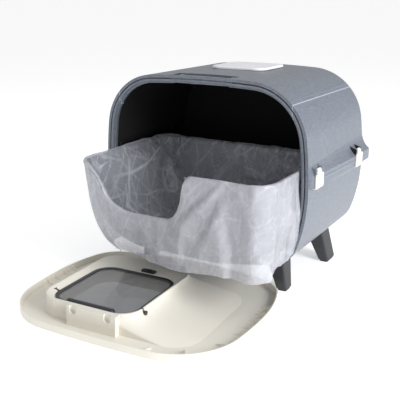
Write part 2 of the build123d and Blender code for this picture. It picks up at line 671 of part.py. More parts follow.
def handle():
    """Folding carry handle: a flat bar with a short arm at each end."""
    half = HANDLE_LENGTH / 2
    y0 = HANDLE_Y - HANDLE_ARM
    bar = fillet(block(-half, half, y0 - 5, y0 + 6, HANDLE_Z - 3.5, HANDLE_Z + 4.5).edges(), 2.5)
    shape = bar
    for end in (-1, 1):
        x = end * (half - 5)
        arm = block(x - 5, x + 5, y0 - 2, HANDLE_Y, HANDLE_Z - 3.5, HANDLE_Z + 4.5)
        arm += Pos(x, HANDLE_Y, HANDLE_Z) * ALONG_X * Cylinder(5.5, 10)
        shape += arm
        shape -= Pos(x, HANDLE_Y, HANDLE_Z) * ALONG_X * Cylinder(2.5 + RUNNING_GAP, 14)
    return shape


def filter_cover():
    """Crowned vent plate with its field of holes."""
    plate = extrude(Pos(0, FILTER_Y, BOX_TOP + 0.4) * RectangleRounded(*FILTER_SIZE, 30), amount=6)
    plate = fillet(plate.faces().sort_by(Axis.Z)[-1].edges(), 3.5)
    plug = RectangleRounded(FILTER_SIZE[0] - 24, FILTER_SIZE[1] - 24, 18)
    plug -= RectangleRounded(FILTER_SIZE[0] - 30, FILTER_SIZE[1] - 30, 15)
    plate += extrude(Pos(0, FILTER_Y, BOX_TOP - 6) * plug, amount=8)
    holes = Sketch() + [place * Circle(3.2) for place in GridLocations(13, 13, 9, 8)]
    return plate - extrude(Pos(0, FILTER_Y, BOX_TOP - 10) * holes, amount=30)


def carbon_filter():
    """Carbon filter pad lying on the slotted floor of the well."""
    plan = RectangleRounded(FILTER_SIZE[0] - 34, FILTER_SIZE[1] - 34, 14)
    low = BOX_TOP - FILTER_WELL - 3.0
    return extrude(Pos(0, FILTER_Y, low) * plan, amount=9)


# ---- Every node ------------------------------------------------------------------------------------
export("hood_shell", hood())
export("base_shell", base())
for name, side, index, _ in leg_spots():
    export(f"leg_{name}", leg(side, index))
export("foot_pads", *[foot_pad(side, index) for _, side, index, _ in leg_spots()])
export("leg_screws", *[leg_screw(side, index) for _, side, index, _ in leg_spots()])
export("litter_tray", tray())
export("tray_liner", liner())
export("front_cover", front_cover().moved(COVER_PLACE))
export("flap_frame", flap_frame().moved(COVER_PLACE))
export("flap_pane", flap_pane().moved(COVER_PLACE))
export("flap_pins", *[flap_pin(side).moved(COVER_PLACE) for side in (-1, 1)])
export("flap_lock", flap_lock().moved(COVER_PLACE))
for index, (end, _) in enumerate(ENDS):
    for name, side in SIDES:
        export(f"latch_{end}_{name}", mirrored(latch(index), side))
export("latch_pins", *[
    mirrored(rod(latch_pivot(index)[0], y, LATCH_PIVOT_Z, LATCH_PIN_R, PIN_LENGTH, ALONG_Y), side)
    for _, side in SIDES for index, y in enumerate(LATCH_Y)
])
export("carry_handle", handle())
export("handle_pins", *[
    Pos(side * (HANDLE_LENGTH / 2), HANDLE_Y, HANDLE_Z) * ALONG_X * Cylinder(2.5, 20) for side in (-1, 1)
])
export("filter_cover", filter_cover())
export("carbon_filter", carbon_filter())
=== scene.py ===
"""Looks and studio for a hooded cat litter box with a film-lined tray and a laid-down front cover.

Every length is in metres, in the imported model's own frame: +Z up, -Y the way the box faces.
"""

import math

import bmesh
import bpy
import numpy as np
from bpy.props import FloatProperty, FloatVectorProperty, IntProperty, PointerProperty
from bpy.types import Operator, Panel, PropertyGroup
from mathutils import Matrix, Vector, noise


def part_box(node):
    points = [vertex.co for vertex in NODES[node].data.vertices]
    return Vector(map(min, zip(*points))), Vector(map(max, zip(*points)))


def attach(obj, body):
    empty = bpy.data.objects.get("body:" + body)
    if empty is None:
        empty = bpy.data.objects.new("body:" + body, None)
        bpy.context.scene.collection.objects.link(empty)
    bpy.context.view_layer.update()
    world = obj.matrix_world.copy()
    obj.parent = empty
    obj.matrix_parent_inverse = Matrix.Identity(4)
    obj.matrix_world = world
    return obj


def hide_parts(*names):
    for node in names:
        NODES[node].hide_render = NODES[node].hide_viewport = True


bl_info = {
    "name": "Hooded Litter Box Looks",
    "version": (1, 0, 0),
    "blender": (4, 5, 0),
    "location": "View3D > Sidebar > Litter Box",
    "description": "Finishes the parts of a hooded cat litter box, drapes its tray liner and lights it",
    "category": "Object",
}

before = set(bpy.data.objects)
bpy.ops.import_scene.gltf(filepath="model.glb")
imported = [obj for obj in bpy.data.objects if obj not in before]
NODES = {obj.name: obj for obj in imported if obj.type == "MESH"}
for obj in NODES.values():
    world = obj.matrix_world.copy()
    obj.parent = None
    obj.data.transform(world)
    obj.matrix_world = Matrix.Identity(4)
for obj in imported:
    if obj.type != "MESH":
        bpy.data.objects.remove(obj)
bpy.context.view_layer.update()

TRAY_LOW, TRAY_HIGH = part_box("litter_tray")
HOOD_LOW, HOOD_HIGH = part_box("hood_shell")
BASE_LOW, BASE_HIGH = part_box("base_shell")
BOX_X = 0.5 * (HOOD_LOW.x + HOOD_HIGH.x)
TRAY_MID = 0.5 * (TRAY_LOW + TRAY_HIGH)


# ---- Shader writing ----------------------------------------------------------------------------------
class Flow:
    """A shader socket that can stand in a sum; every operation adds one Math node."""

    def __init__(self, finish, socket):
        self.finish = finish
        self.socket = socket

    def _math(self, operation, first, second):
        return self.finish.add("ShaderNodeMath", {"operation": operation}, {0: first, 1: second})

    def __add__(self, other):
        return self._math("ADD", self, other)

    __radd__ = __add__

    def __mul__(self, other):
        return self._math("MULTIPLY", self, other)

    __rmul__ = __mul__

    def __sub__(self, other):
        return self._math("SUBTRACT", self, other)

    def __rsub__(self, other):
        return self._math("SUBTRACT", other, self)

    def __gt__(self, other):
        return self._math("GREATER_THAN", self, other)


class Finish:
    """A named material that is written node by node."""

    def __init__(self, name):
        self.material = bpy.data.materials.new(name)
        self.material.use_nodes = True
        self.tree = self.material.node_tree
        self.tree.nodes.clear()
        self.place = self.add("ShaderNodeTexCoord", output="Object")

    def add(self, kind, settings=None, inputs=None, output=0):
        """Add a node, set its settings first, then its sockets' values or links."""
        node = self.tree.nodes.new(kind)
        for key, value in (settings or {}).items():
            setattr(node, key, value)
        for key, value in (inputs or {}).items():
            if isinstance(value, Flow):
                self.tree.links.new(value.socket, node.inputs[key])
            else:
                node.inputs[key].default_value = value
        return Flow(self, node.outputs[output]) if len(node.outputs) else None

    def noise(self, scale, detail=4.0, roughness=0.5, stretch=(1.0, 1.0, 1.0)):
        """Fractal noise on Object coordinates; a large stretch number squeezes the grain on that axis."""
        grain = self.add("ShaderNodeMapping", None, {"Vector": self.place, "Scale": stretch})
        sockets = {"Vector": grain, "Scale": scale, "Detail": detail, "Roughness": roughness}
        return self.add("ShaderNodeTexNoise", None, sockets)

    def blend(self, factor, first, second):
        """A mix of two colours."""
        settings = {"data_type": "RGBA"}
        return self.add("ShaderNodeMix", settings, {0: factor, 6: first, 7: second}, output=2)

    def bump(self, height, strength, distance, normal=None):
        """A bumped normal from a height, in metres of depth."""
        sockets = {"Height": height, "Strength": strength, "Distance": distance}
        if normal is not None:
            sockets["Normal"] = normal
        return self.add("ShaderNodeBump", None, sockets)

    def close(self, **sockets):
        """The Principled shader and the output; names use _ for spaces."""
        inputs = {key.replace("_", " "): value for key, value in sockets.items()}
        shader = self.add("ShaderNodeBsdfPrincipled", None, inputs)
        self.add("ShaderNodeOutputMaterial", None, {"Surface": shader})
        return self.material


def rgba(colour, factor=1.0):
    """A colour property as four numbers, made lighter or darker by a factor."""
    return tuple(min(1.0, channel * factor) for channel in colour[:3]) + (1.0,)


LIP_SHADE_FADE = (0.004, 0.016)  # depths behind the rim's face over which its inside darkens: painted shade in the recess
SEAM_HIGHLIGHT_HALF = 0.0008  # half the width of the painted highlight along the shoulder's seam
SEAM_HIGHLIGHT_LOW = 0.40  # height above which the seam's painted highlight shows


def shell_finish(look):
    """Slate grey plastic with the fine linen grain that the hood and base are moulded with; the inner faces
    and the rim's inner lip are painted dark as painted shade, and a painted highlight runs along the
    shoulder's seam.
    """
    f = Finish("slate_linen_plastic")
    warp = f.noise(look.grain_scale, 2.0, 0.6, (1.0, 1.0, 0.10))
    weft = f.noise(look.grain_scale, 2.0, 0.6, (0.10, 0.10, 1.0))
    cloud = f.noise(7.0, 3.0)
    linen = warp * 0.55 + weft * 0.45
    grain = f.add("ShaderNodeMapRange", None, {"Value": linen, "From Min": 0.36, "From Max": 0.64})
    tone = f.blend(grain, rgba(look.shell_colour, 0.70), rgba(look.shell_colour, 1.34))
    tone = f.blend(cloud * 0.3, tone, rgba(look.shell_colour, 0.80))
    x, y, z = (f.add("ShaderNodeSeparateXYZ", None, {0: f.place}, output=axis) for axis in "XYZ")
    face = f.add("ShaderNodeNewGeometry", output="True Normal")
    nx, ny, nz = (f.add("ShaderNodeSeparateXYZ", None, {0: face}, output=axis) for axis in "XYZ")
    outward = nx * (x - BOX_X) + nz * (z - 0.5 * (BASE_LOW.z + HOOD_HIGH.z))
    outward = outward + ny * (y - 0.5 * (HOOD_LOW.y + HOOD_HIGH.y)) * 0.6
    # Inner faces behind the rim: the same slate plastic painted near black as painted shade, and made rougher
    # and duller.
    inside = (y > (HOOD_LOW.y + look.rim_depth)) * (0.0 - outward > 0.0)
    tone = f.blend(inside, tone, rgba(look.inner_shade_colour))
    # Painted shade: the rim's inner lip is painted darker with depth behind its face.
    lip_shade_range = {"Value": y, "From Min": HOOD_LOW.y + LIP_SHADE_FADE[0], "From Max": HOOD_LOW.y + LIP_SHADE_FADE[1]}
    lip_shade = f.add("ShaderNodeMapRange", None, lip_shade_range)
    lip_shade = lip_shade * (0.0 - outward > 0.0)
    tone = f.blend(lip_shade * 0.75, tone, rgba(look.inner_shade_colour))
    # Painted highlight: a bright line painted along the shoulder's seam on the outer faces.
    middle = f.add("ShaderNodeMath", {"operation": "ABSOLUTE"}, {0: x - BOX_X})
    seam_highlight = f.add("ShaderNodeMath", {"operation": "COMPARE"}, {0: middle, 1: look.seam_highlight_x, 2: SEAM_HIGHLIGHT_HALF})
    tone = f.blend(seam_highlight * (z > SEAM_HIGHLIGHT_LOW) * (1.0 - inside) * 0.7, tone, rgba(look.shell_colour, 3.2))
    return f.close(
        Base_Color=tone,
        Roughness=0.29 + linen * 0.16 + inside * 0.4,
        Specular_IOR_Level=0.55 - inside * 0.5,
        Normal=f.bump(linen, 0.30, 0.0005),
    )


def plain_finish(name, colour, roughness=0.45, grain=260.0, depth=0.0003, mottle=0.12, **extra):
    """Moulded plastic with a fine spark-eroded grain and a slight cloud in its colour."""
    f = Finish(name)
    fine = f.noise(grain, 3.0)
    cloud = f.noise(14.0, 3.0)
    tone = f.blend(cloud, rgba(colour, 1.0 - mottle), rgba(colour, 1.0 + mottle))
    return f.close(
        Base_Color=tone,
        Roughness=roughness - 0.06 + fine * 0.12,
        Normal=f.bump(fine, 0.25, depth),
        **extra,
    )


def film_finish(look):
    """Thin wrinkled film: milky where it is creased or doubled, clearer where it lies flat; its crease crests
    are also painted lighter as a painted highlight.
    """
    f = Finish("liner_film")
    crease = f.add("ShaderNodeAttribute", {"attribute_name": "crease"}, output="Fac")
    haze = f.noise(14.0, 4.0, 0.6)
    fine = f.noise(70.0, 5.0, 0.7)
    streak = f.noise(46.0, 4.0, 0.65, (1.0, 1.0, 0.22))
    shard = f.add("ShaderNodeTexVoronoi", {"feature": "DISTANCE_TO_EDGE"}, {"Vector": f.place, "Scale": 26.0})
    ridge = f.add("ShaderNodeMapRange", None, {"Value": shard, "From Min": 0.09, "From Max": 0.0})
    skirt = f.add("ShaderNodeAttribute", {"attribute_name": "skirt"}, output="Fac")
    cover = crease * (0.34 - skirt * 0.20) + haze * 0.24 + streak * 0.22 + ridge * 0.05
    cover = cover + skirt * 0.32 + (look.film_opacity - 0.26)
    alpha = f.add("ShaderNodeClamp", None, {"Value": cover, "Min": 0.10, "Max": 0.97})
    # Painted highlight: the film's colour is lightened along the crease crests, less on the outer skirt.
    tone = f.blend(crease * (0.9 - skirt * 0.6), rgba(look.film_colour, 0.88), rgba(look.film_colour, 1.25))
    relief = fine * 0.35 + streak * 0.65
    folds = f.bump(relief, 0.75, 0.0035)
    return f.close(
        Base_Color=tone,
        Roughness=0.20 + haze * 0.16,
        Alpha=alpha,
        Normal=f.bump(ridge, 0.35, 0.0012, folds),
        Specular_IOR_Level=0.75,
    )


def pane_finish(look):
    """Polished smoked plastic with faint handling haze."""
    f = Finish("smoked_pane")
    haze = f.noise(18.0, 5.0, 0.6)
    return f.close(
        Base_Color=f.blend(haze, rgba(look.pane_colour, 0.9), rgba(look.pane_colour, 1.15)),
        Roughness=0.03 + haze * 0.06,
        Alpha=look.pane_opacity + haze * 0.06,
        IOR=1.6,
        Normal=f.bump(f.noise(6.0, 2.0), 0.08, 0.002),
        Coat_Weight=0.35,
        Coat_Roughness=0.03,
    )


def steel_finish():
    """Plain drawn steel with fine lengthwise scratches."""
    f = Finish("drawn_steel")
    scratch = f.noise(300.0, 2.0, 0.5, (1.0, 0.06, 1.0))
    tone = f.blend(scratch, (0.42, 0.42, 0.44, 1.0), (0.66, 0.66, 0.68, 1.0))
    return f.close(Base_Color=tone, Metallic=1.0, Roughness=0.28 + scratch * 0.2)


def felt_finish():
    """Black carbon felt with loose granules."""
    f = Finish("carbon_felt")
    grain = f.noise(420.0, 4.0, 0.7)
    tone = f.blend(grain, (0.012, 0.012, 0.013, 1.0), (0.06, 0.06, 0.065, 1.0))
    return f.close(Base_Color=tone, Roughness=0.95, Normal=f.bump(grain, 0.8, 0.0012))


def dress(material, *names):
    """Give CAD nodes a material."""
    for name in names:
        slots = NODES[name].data.materials
        slots.clear()
        slots.append(material)


# ---- Geometry Nodes --------------------------------------------------------------------------------
def rib_strip_tree():
    """A node group that lays small upright ribs along +Y at an even pitch."""
    tree = bpy.data.node_groups.new("rib_strip", "GeometryNodeTree")
    tree.interface.new_socket("Geometry", in_out="OUTPUT", socket_type="NodeSocketGeometry")
    for name, kind in (
        ("Count", "NodeSocketInt"),
        ("Pitch", "NodeSocketFloat"),
        ("Start", "NodeSocketVector"),
        ("Drift", "NodeSocketFloat"),
        ("Rib Size", "NodeSocketVector"),
        ("Finish", "NodeSocketMaterial"),
    ):
        tree.interface.new_socket(name, in_out="INPUT", socket_type=kind)
    nodes, links = tree.nodes, tree.links
    given = nodes.new("NodeGroupInput").outputs
    step = nodes.new("ShaderNodeCombineXYZ")
    row = nodes.new("GeometryNodeMeshLine")
    rib = nodes.new("GeometryNodeMeshCube")
    laid = nodes.new("GeometryNodeInstanceOnPoints")
    real = nodes.new("GeometryNodeRealizeInstances")
    painted = nodes.new("GeometryNodeSetMaterial")
    result = nodes.new("NodeGroupOutput")
    links.new(given["Pitch"], step.inputs["Y"])
    links.new(given["Drift"], step.inputs["X"])
    links.new(given["Count"], row.inputs["Count"])
    links.new(given["Start"], row.inputs["Start Location"])
    links.new(step.outputs[0], row.inputs["Offset"])
    links.new(given["Rib Size"], rib.inputs["Size"])
    links.new(row.outputs["Mesh"], laid.inputs["Points"])
    links.new(rib.outputs["Mesh"], laid.inputs["Instance"])
    links.new(laid.outputs["Instances"], real.inputs["Geometry"])
    links.new(real.outputs["Geometry"], painted.inputs["Geometry"])
    links.new(given["Finish"], painted.inputs["Material"])
    links.new(painted.outputs["Geometry"], result.inputs[0])
    return tree


def grown(name, tree, values):
    """Run a node group with the given named inputs and keep its result as a plain mesh object."""
    carrier = bpy.data.objects.new(name + "_carrier", bpy.data.meshes.new(name + "_carrier"))
    bpy.context.collection.objects.link(carrier)
    modifier = carrier.modifiers.new("grow", "NODES")
    modifier.node_group = tree
    for item in tree.interface.items_tree:
        if item.in_out == "INPUT" and item.name in values:
            modifier[item.identifier] = values[item.name]
    evaluated = carrier.evaluated_get(bpy.context.evaluated_depsgraph_get())
    mesh = bpy.data.meshes.new_from_object(evaluated)
    bpy.data.objects.remove(carrier)
    return placed(name, mesh)


def placed(name, mesh):
    """A new object at the origin with the given mesh."""
    mesh.name = name
    piece = bpy.data.objects.new(name, mesh)
    bpy.context.collection.objects.link(piece)
    return piece


# ---- The tray liner ----------------------------------------------------------------------------------
TRAY_LEVELS = (  # height, width, depth and corner radius of the tray, from its floor to its edge
    (0.1035, 0.300, 0.252, 0.060),
    (0.1220, 0.366, 0.296, 0.062),
    (0.1650, 0.432, 0.334, 0.058),
    (0.2250, 0.472, 0.352, 0.050),
    (0.3150, 0.496, 0.364, 0.040),
)
ENTRY_EDGE = (  # X from the box's middle and height, along the edge of the low entry
    (-0.236, 0.3170),
    (-0.222, 0.3120),
    (-0.206, 0.2880),
    (-0.195, 0.2600),
    (-0.190, 0.2420),
    (-0.176, 0.2210),
    (-0.152, 0.2085),
    (-0.120, 0.2045),
    (0.000, 0.2045),
    (0.018, 0.2120),
    (0.034, 0.2300),
    (0.043, 0.2600),
    (0.050, 0.3000),
    (0.062, 0.3170),
)


WALL_CLEARANCE = 0.0015  # furthest that the film moves in towards the tray
EDGE_PLAY = (-0.0004, 0.0012)  # the same in and out, where it is held over the edge
GREATEST_SLIP = 0.010  # furthest that it slides along the tray
TINY = 1e-9
FOLD_SEED = 7
FLOOR_BULGE = 0.010  # rise of the bag's floor towards the walls
FLOOR_ROUND = 0.012  # height of the round between the bag's floor and its walls


def tray_section(z):
    """Width, depth and corner radius of the tray at height z."""
    heights = [level[0] for level in TRAY_LEVELS]
    return (float(np.interp(z, heights, [level[k] for level in TRAY_LEVELS])) for k in (1, 2, 3))


def ring_point(share, z, grow):
    """A point of the tray's rounded outline at height z, moved outwards by grow.

    share runs 0..8 round the outline: even spans are the straight sides, odd spans the corners.
    """
    width, depth, radius = tray_section(z)
    half_x, half_y, radius = width / 2 + grow, depth / 2 + grow, max(0.004, radius + grow)
    sx, sy = half_x - radius, half_y - radius
    span, part = int(share) % 8, share - int(share)
    corners = ((sx, -sy), (sx, sy), (-sx, sy), (-sx, -sy))
    side = span // 2
    if span % 2:
        angle = math.radians(-90.0 + 90.0 * side + 90.0 * part)
        cx, cy = corners[side]
        return cx + radius * math.cos(angle), cy + radius * math.sin(angle)
    starts = ((-sx, -half_y), (half_x, -sy), (sx, half_y), (-half_x, sy))
    ends = ((sx, -half_y), (half_x, sy), (-sx, half_y), (-half_x, -sy))
    (x0, y0), (x1, y1) = starts[side], ends[side]
    return x0 + (x1 - x0) * part, y0 + (y1 - y0) * part


def edge_height(x, y, top):
    """Height of the tray's edge at a place on its outline: low where the entry is cut."""
    if y > -0.1:
        return top
    return float(np.interp(x, [p[0] for p in ENTRY_EDGE], [p[1] for p in ENTRY_EDGE], left=top, right=top))


def liner_columns(spacing, top):
    """Places round the outline, evenly spaced along the tray's edge with its entry."""
    fine = np.linspace(0.0, 8.0, 6400, endpoint=False)
    points = []
    for share in fine:
        x, y = ring_point(share, top, 0.0)
        points.append((x, y, edge_height(x, y, top)))
    points = np.array(points)
    gaps = np.linalg.norm(np.roll(points, -1, axis=0) - points, axis=1)
    run = np.concatenate([[0.0], np.cumsum(gaps)])
    count = int(run[-1] / spacing)
    wanted = np.arange(count) * run[-1] / count
    shares = np.interp(wanted, run[:-1], fine)
    heights = np.interp(wanted, run[:-1], points[:, 2])
    return [(float(share), float(height)) for share, height in zip(shares, heights)]


def soft_noise(x, y, z, scale, seed):
    """Smooth noise from about -1 to 1."""
    return noise.noise(Vector((x * scale + seed, y * scale - seed, z * scale + 2.0 * seed)))


def liner_mesh(look):
    """The liner before it wrinkles: floor, inner walls, fold over the edge and outer skirt, as a grid."""
    top = TRAY_HIGH.z + 0.002
    columns = liner_columns(look.film_cell, top)
    floor_rows, wall_rows, skirt_rows = look.floor_rows, look.wall_rows, look.skirt_rows
    floor_z = TRAY_LOW.z + look.floor_lift
    grid = []
    for share, edge in columns:
        line = []
        for row in range(1, floor_rows):
            part = row / floor_rows
            x, y = ring_point(share, floor_z + 0.02, -0.014)
            bulge = FLOOR_BULGE * part**6
            line.append((x * part, y * part, floor_z + bulge))
        for row in range(wall_rows):
            part = row / (wall_rows - 1)
            z = floor_z + FLOOR_ROUND + (edge - 0.004 - floor_z - FLOOR_ROUND) * part
            x, y = ring_point(share, z, -0.0110 + 0.0045 * part)
            line.append((x, y, z))
        x, y = ring_point(share, edge, -0.0012)
        line.append((x, y, edge + 0.0012))
        x, y = ring_point(share, edge, 0.0035)
        line.append((x, y, edge + 0.0006))
        top_x, top_y = ring_point(share, edge, 0.0055)
        hem, hang = skirt_shape(top_x, top_y, look)
        for row in range(skirt_rows):
            part = (row + 0.4) / (skirt_rows - 0.6)
            z = edge - 0.002 + (hem - edge + 0.002) * part
            low_x, low_y = ring_point(share, z, 0.009)
            x = low_x + (top_x - low_x) * hang
            y = low_y + (top_y - low_y) * hang
            x, y = pleated(x, y, share, part, look)
            line.append((x, y, z))
        grid.append(line)
    rows = len(grid[0])
    verts = [(x + BOX_X, y + TRAY_MID.y, z) for line in grid for x, y, z in line]
    centre = len(verts)
    verts.append((BOX_X, TRAY_MID.y, floor_z))
    faces = []
    for c in range(len(grid)):
        n = (c + 1) % len(grid)
        faces.append((centre, c * rows, n * rows))
        for r in range(rows - 1):
            faces.append((c * rows + r + 1, n * rows + r + 1, n * rows + r, c * rows + r))
    mesh = bpy.data.meshes.new("tray_liner_film")
    mesh.from_pydata(verts, [], faces)
    mesh.update()
    edge_rows = (floor_rows - 1 + wall_rows - 1, floor_rows - 1 + wall_rows + 1)
    return mesh, rows, edge_rows


def skirt_shape(x, y, look):
    """Height of the hem and how plumb the skirt hangs, at a place on the outline."""
    front = 1.0 if y < -0.15 else max(0.0, 1.0 - (y + 0.15) / 0.07)
    ramp = min(1.0, max(0.0, (y + 0.13) / 0.20))
    hem = look.front_hem + (look.side_hem - look.front_hem) * ramp * ramp * (3.0 - 2.0 * ramp)
    right = min(1.0, max(0.0, (x + 0.24) / 0.36))
    hang = 0.12 + front * (0.30 + 0.50 * right) + (1.0 - front) * 0.55 * right
    return hem, hang


def pleated(x, y, share, part, look):
    """Move a skirt point outwards by the film's loose vertical folds."""
    away = Vector((x / 0.25, y / 0.18, 0.0))
    away.normalize()
    loose = 1.0 if y < -0.14 else 0.25
    wave = soft_noise(share * 3.1, 0.35 * part, 0.0, 1.0, 3.7)
    depth = look.pleat_depth * loose * part * max(-0.25, wave * 1.5)
    drift = 0.004 * part * loose
    return x + away.x * (depth + drift), y + away.y * (depth + drift)


def crumple(piece, base, rows, edge_rows, look):
    """Let the film buckle as a cloth that is a little too large, held along the tray's edge."""
    held = piece.vertex_groups.new(name="held")
    columns = (len(piece.data.vertices) - 1) // rows
    first, last = edge_rows
    for c in range(columns):
        held.add([c * rows + r for r in range(first - 1, last + 1)], 1.0, "REPLACE")
        held.add([c * rows + r for r in range(0, first - 1, 6)], 0.12, "REPLACE")
    cloth = piece.modifiers.new("buckle", "CLOTH")
    settings = cloth.settings
    settings.quality = 5
    settings.mass = 0.05
    settings.tension_stiffness = 40.0
    settings.compression_stiffness = 40.0
    settings.shear_stiffness = 20.0
    settings.bending_stiffness = 0.05
    settings.shrink_min = -look.film_slack
    settings.vertex_group_mass = "held"
    settings.pin_stiffness = 1.0
    settings.effector_weights.gravity = 0.15
    cloth.collision_settings.use_collision = False
    frames = look.buckle_frames
    cloth.point_cache.frame_start = 1
    cloth.point_cache.frame_end = frames
    for number in range(1, frames + 1):
        bpy.context.scene.frame_set(number)
    graph = bpy.context.evaluated_depsgraph_get()
    done = np.zeros(len(base) * 3)
    piece.evaluated_get(graph).data.vertices.foreach_get("co", done)
    piece.modifiers.remove(cloth)
    piece.vertex_groups.clear()
    bpy.context.scene.frame_set(1)
    return done.reshape(-1, 3)


def limited(base, moved, normals, rows, edge_rows, look):
    """Keep the buckled film off the tray's walls and inside its greatest stand-off."""
    shift = moved - base
    along = np.sum(shift * normals, axis=1)
    across = shift - along[:, None] * normals
    row = np.arange(len(base) - 1) % rows
    row = np.append(row, 0)
    low = np.full(len(base), -WALL_CLEARANCE)
    high = np.full(len(base), look.stand_off)
    edge = (row >= edge_rows[0] - 1) & (row <= edge_rows[1] + 1)
    low[edge], high[edge] = EDGE_PLAY
    kept = np.clip(along, low, high)
    size = np.linalg.norm(across, axis=1)
    share = np.minimum(1.0, GREATEST_SLIP / np.maximum(size, TINY))
    return base + kept[:, None] * normals + across * share[:, None]


def fold_set(seed, count):
    """Directions, spacings and phases of the film's random straight folds."""
    rng = np.random.default_rng(seed)
    folds = []
    for _ in range(count):
        slant = rng.uniform(-0.9, 0.9)
        turn = rng.uniform(0.0, 2.0 * math.pi)
        way = np.array((math.cos(turn), math.sin(turn), slant))
        folds.append((way / np.linalg.norm(way), rng.uniform(14.0, 62.0), rng.uniform(0.0, 9.0)))
    return folds


def creased(point, folds):
    """Height of the folded film at a point, -1 to 1, and how close it is to a crease, 0 to 1."""
    height, near, total = 0.0, 0.0, 0.0
    x, y, z = point
    bend = soft_noise(x, y, z, 9.0, 2.7) * 0.7
    for index, (way, pitch, phase) in enumerate(folds):
        patch = soft_noise(x, y, z, 6.5, 5.0 + 3.1 * index)
        weight = max(0.0, patch + 0.12) ** 0.7
        if weight <= 0.0:
            continue
        turn = pitch * (way[0] * x + way[1] * y + way[2] * z) + phase + bend
        wave = abs(turn % 2.0 - 1.0)
        size = weight * 22.0 / pitch
        height += size * (2.0 * wave - 1.0)
        near = max(near, min(1.0, weight * 1.3) * max(0.0, 1.0 - 13.0 * (1.0 - wave)))
        total += size
    return height / max(total, 0.6), near


def outline_distance(x, y, z):
    """Distance outside the tray's outline at a place, negative inside."""
    width, depth, radius = tray_section(z)
    qx = abs(x - BOX_X) - width / 2 + radius
    qy = abs(y - TRAY_MID.y) - depth / 2 + radius
    return math.hypot(max(qx, 0.0), max(qy, 0.0)) + min(max(qx, qy), 0.0) - radius


def build_liner(look):
    """The finished liner: buckled, refined and creased."""
    mesh, rows, edge_rows = liner_mesh(look)
    piece = placed("liner_bag", mesh)
    count = len(mesh.vertices)
    base = np.zeros(count * 3)
    mesh.vertices.foreach_get("co", base)
    base = base.reshape(-1, 3)
    normals = np.array([v.normal[:] for v in mesh.vertices])
    moved = crumple(piece, base, rows, edge_rows, look)
    kept = limited(base, moved, normals, rows, edge_rows, look)
    mesh.vertices.foreach_set("co", kept.ravel())
    mesh.update()
    subdivision = piece.modifiers.new("refine", "SUBSURF")
    subdivision.levels = subdivision.render_levels = 1
    graph = bpy.context.evaluated_depsgraph_get()
    fine = bpy.data.meshes.new_from_object(piece.evaluated_get(graph))
    bpy.data.objects.remove(piece)
    bpy.data.meshes.remove(mesh)
    fine.update()
    folds = fold_set(FOLD_SEED, look.fold_count)
    values = np.array([creased(v.co, folds) for v in fine.vertices])
    outside = np.array([1.0 if outline_distance(*v.co) > 0.0 else 0.0 for v in fine.vertices])
    normals = np.array([v.normal[:] for v in fine.vertices])
    points = np.array([v.co[:] for v in fine.vertices])
    depth = look.crease_height * (0.7 + 0.6 * outside)
    points += normals * ((0.5 + 0.5 * values[:, 0]) * depth)[:, None]
    fine.vertices.foreach_set("co", points.ravel())
    for name, numbers in (("crease", values[:, 1]), ("skirt", outside)):
        attribute = fine.attributes.new(name, "FLOAT", "POINT")
        attribute.data.foreach_set("value", numbers)
    fine.update()
    fine.polygons.foreach_set("use_smooth", [True] * len(fine.polygons))
    return placed("liner_bag", fine)


# ---- Settings ----------------------------------------------------------------------------------------
class LITTERBOX_PG_plastics(PropertyGroup):
    shell_colour: FloatVectorProperty(
        name="Shell Colour", description="Slate grey of the hood and base", subtype="COLOR",
        default=(0.150, 0.170, 0.205),
    )
    # Painted shade for the inner faces of the shells; the plastic itself is the shell colour.
    inner_shade_colour: FloatVectorProperty(
        name="Inner Colour", description="Dark unlit inside of the shells", subtype="COLOR",
        default=(0.020, 0.020, 0.021),
    )
    cream_colour: FloatVectorProperty(
        name="Cream Colour", description="Front cover and latches", subtype="COLOR",
        default=(0.82, 0.79, 0.71),
    )
    leg_colour: FloatVectorProperty(
        name="Leg Colour", description="Charcoal of the legs and the flap frame", subtype="COLOR",
        default=(0.030, 0.032, 0.036),
    )
    vent_colour: FloatVectorProperty(
        name="Vent Colour", description="White vent plate in the roof", subtype="COLOR",
        default=(0.86, 0.86, 0.90),
    )
    pane_colour: FloatVectorProperty(
        name="Pane Colour", description="Smoke tint of the flap", subtype="COLOR",
        default=(0.16, 0.165, 0.175),
    )
    pane_opacity: FloatProperty(
        name="Pane Opacity", description="How dark the smoked pane is", min=0.0, max=1.0, default=0.55,
        subtype="FACTOR",
    )
    grain_scale: FloatProperty(
        name="Grain Scale", description="Fineness of the linen grain, per metre", min=50.0, default=520.0,
    )
    # Depth behind the rim's face before the painted inner shade starts.
    rim_depth: FloatProperty(
        name="Rim Depth", description="Depth of the front rim that keeps its outer colour", unit="LENGTH",
        default=0.0155,
    )
    # Where the bright painted highlight along the seam is drawn.
    seam_highlight_x: FloatProperty(
        name="Seam X", description="Distance of the shoulder's fine seam from the middle", unit="LENGTH",
        default=0.2346,
    )


